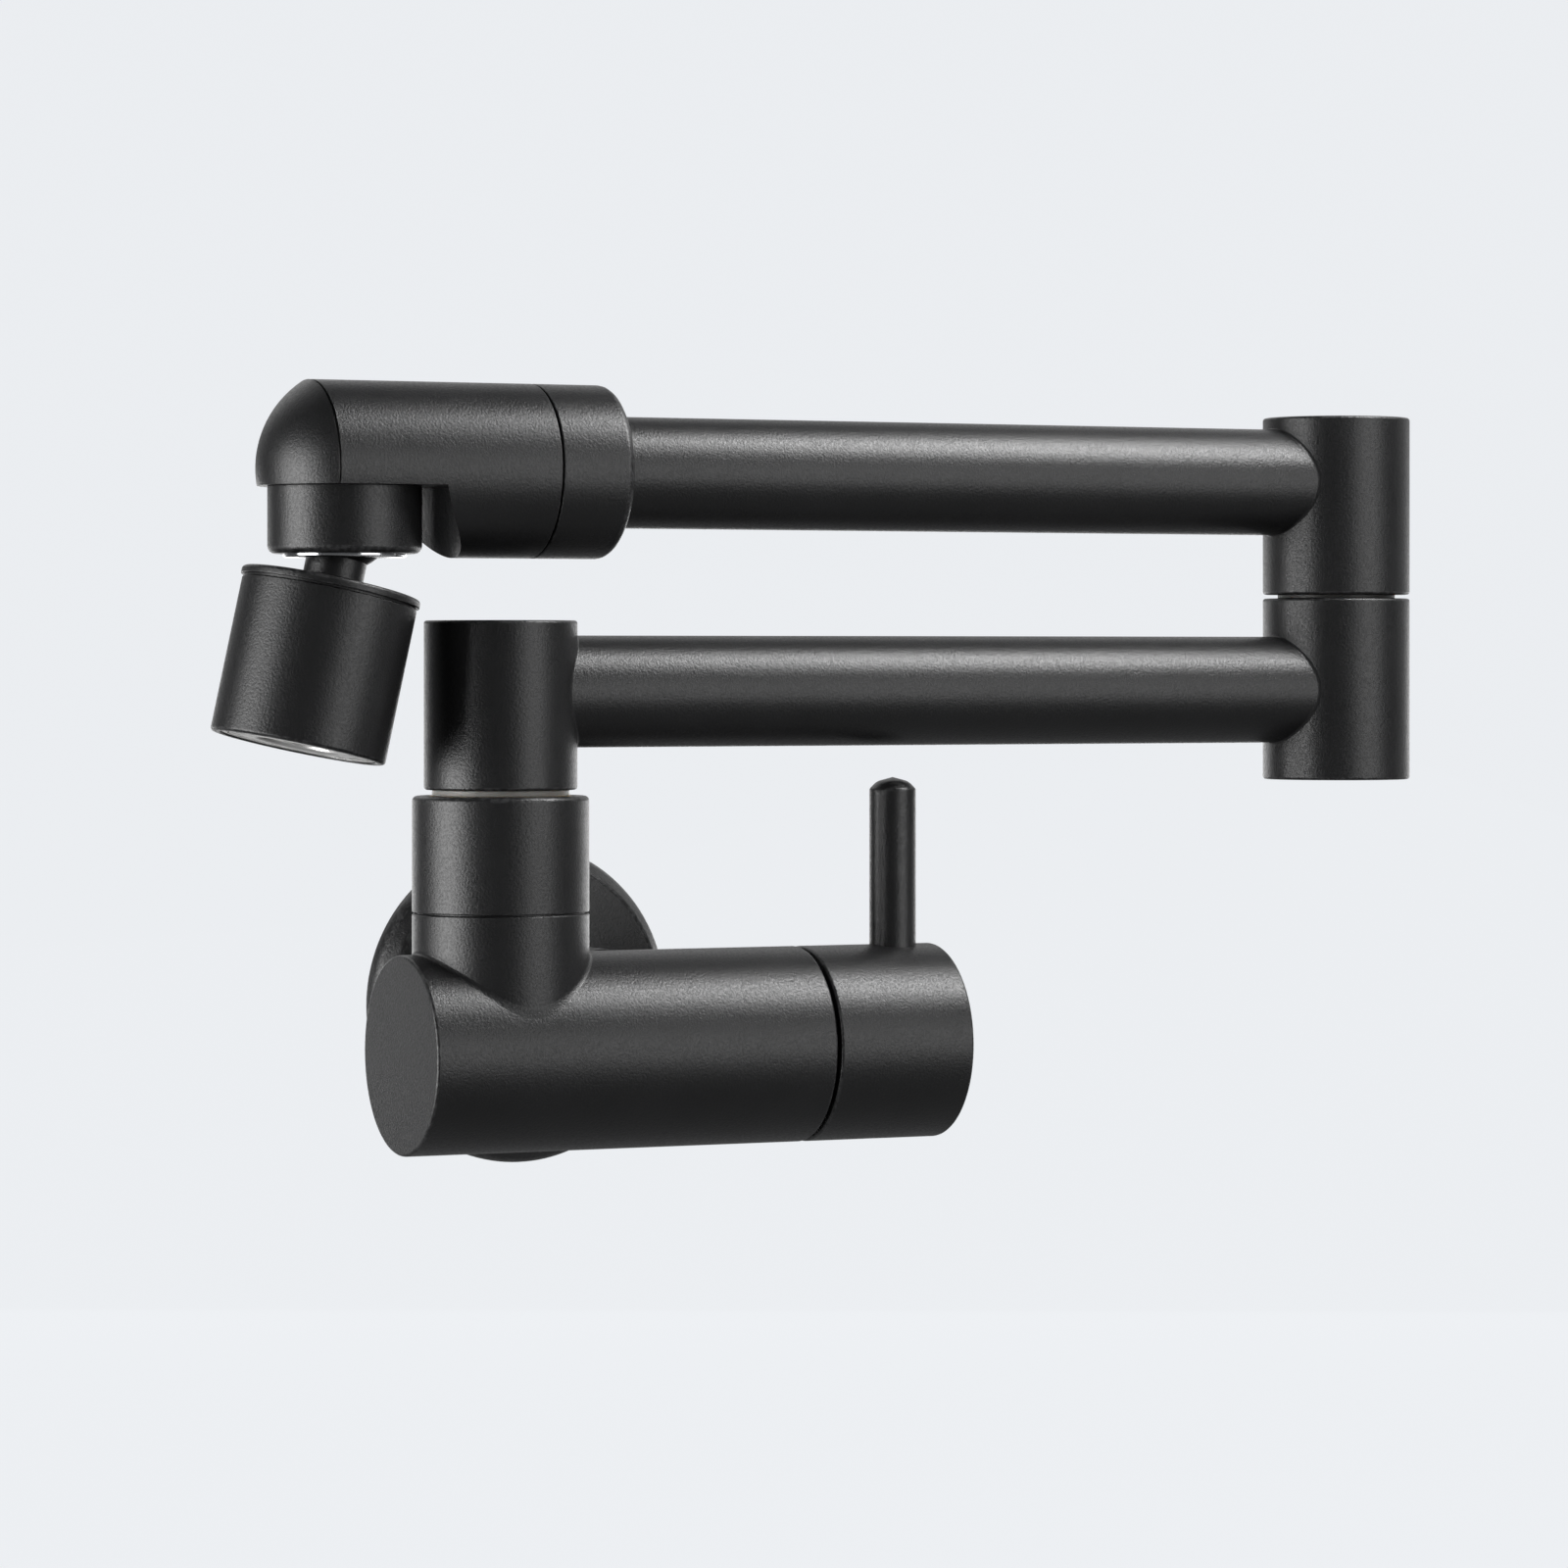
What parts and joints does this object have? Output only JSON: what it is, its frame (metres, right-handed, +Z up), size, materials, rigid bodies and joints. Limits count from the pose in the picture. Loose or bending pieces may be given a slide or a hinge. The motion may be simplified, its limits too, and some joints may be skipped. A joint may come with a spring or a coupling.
{
  "type": "wall-mounted kitchen tap",
  "caption": "Wall-mounted folding kitchen tap in matte black: round flange, side lever, stacked swinging arms and a short spray head on a ball joint.",
  "frame": {"origin": "middle of the wall flange, on the wall's surface, on the inlet's axis", "axes": "+X to the right along the wall, +Y into the wall along the inlet, +Z up"},
  "size_m": [0.263, 0.0955, 0.1577],
  "materials": {
    "matte_black": "matte powder coat",
    "brass": "machined",
    "ceramic": "lapped ceramic",
    "rubber": "matte",
    "acetal": "smooth",
    "steel": "plain",
    "bright_metal": "satin chrome",
    "white_plastic": "smooth"
  },
  "bodies": {
    "base": {"wall_flange": "matte_black", "wall_gasket": "rubber", "flange_o_ring": "rubber", "inlet_nipple": "brass", "inlet_washer": "rubber", "valve_body": "matte_black", "cartridge_housing": "brass", "seat_gasket": "rubber", "cartridge_o_ring": "rubber", "fixed_disc": "ceramic", "riser_spigot": "brass", "riser_collar": "matte_black", "riser_o_rings": "rubber", "riser_glide_washer": "acetal"},
    "handle": {"rotating_disc": "ceramic", "cartridge_stem": "brass", "stem_o_rings": "rubber", "stem_clip": "steel", "handle_hub": "matte_black", "lever_rod": "matte_black", "handle_set_screw": "steel"},
    "lower_arm": {"lower_arm_hub": "matte_black", "lower_arm_screw": "steel", "lower_arm_tube": "matte_black", "lower_knuckle": "matte_black", "knuckle_spigot": "brass", "knuckle_o_rings": "rubber", "knuckle_glide_washer": "acetal"},
    "upper_arm": {"upper_knuckle": "matte_black", "upper_arm_screw": "steel", "upper_arm_tube": "matte_black", "head_collar": "matte_black", "head_o_ring": "rubber", "spout_head": "matte_black", "aerator_socket": "matte_black", "socket_gasket": "rubber", "ball_retainer": "bright_metal"},
    "ball_ring": {"ball_seat": "acetal"},
    "ball": {"ball_stem": "matte_black", "spray_cap": "matte_black", "spray_o_ring": "rubber", "spray_snap_ring": "steel"},
    "spray": {"spray_shell": "matte_black", "spray_plate": "bright_metal", "aerator_insert": "white_plastic"}
  },
  "joints": [
    {"name": "handle_turn", "type": "hinge", "parent": "base", "child": "handle", "pos_m": [0, -0.06, -0.006], "axis": [1, 0, 0], "range_deg": [0, 90]},
    {"name": "lower_arm_swing", "type": "hinge", "parent": "base", "child": "lower_arm", "pos_m": [-0.0281, -0.06, 0], "axis": [0, 0, -1], "range_deg": [-10, 190]},
    {"name": "upper_arm_swing", "type": "hinge", "parent": "lower_arm", "child": "upper_arm", "pos_m": [0.1609, -0.06, 0], "axis": [0, 0, 1], "continuous": true},
    {"name": "ball_turn", "type": "hinge", "parent": "upper_arm", "child": "ball_ring", "pos_m": [-0.0606, -0.06, 0.09745], "axis": [0, 0, 1], "range_deg": [-90, 90]},
    {"name": "ball_tilt", "type": "hinge", "parent": "ball_ring", "child": "ball", "pos_m": [-0.0606, -0.06, 0.09745], "axis": [0, 1, 0], "range_deg": [-12.5, 7.5]},
    {"name": "spray_spin", "type": "hinge", "parent": "ball", "child": "spray", "pos_m": [-0.0606, -0.06, 0.09745], "axis": [0.2164, 0, 0.9763], "continuous": true}
  ]
}
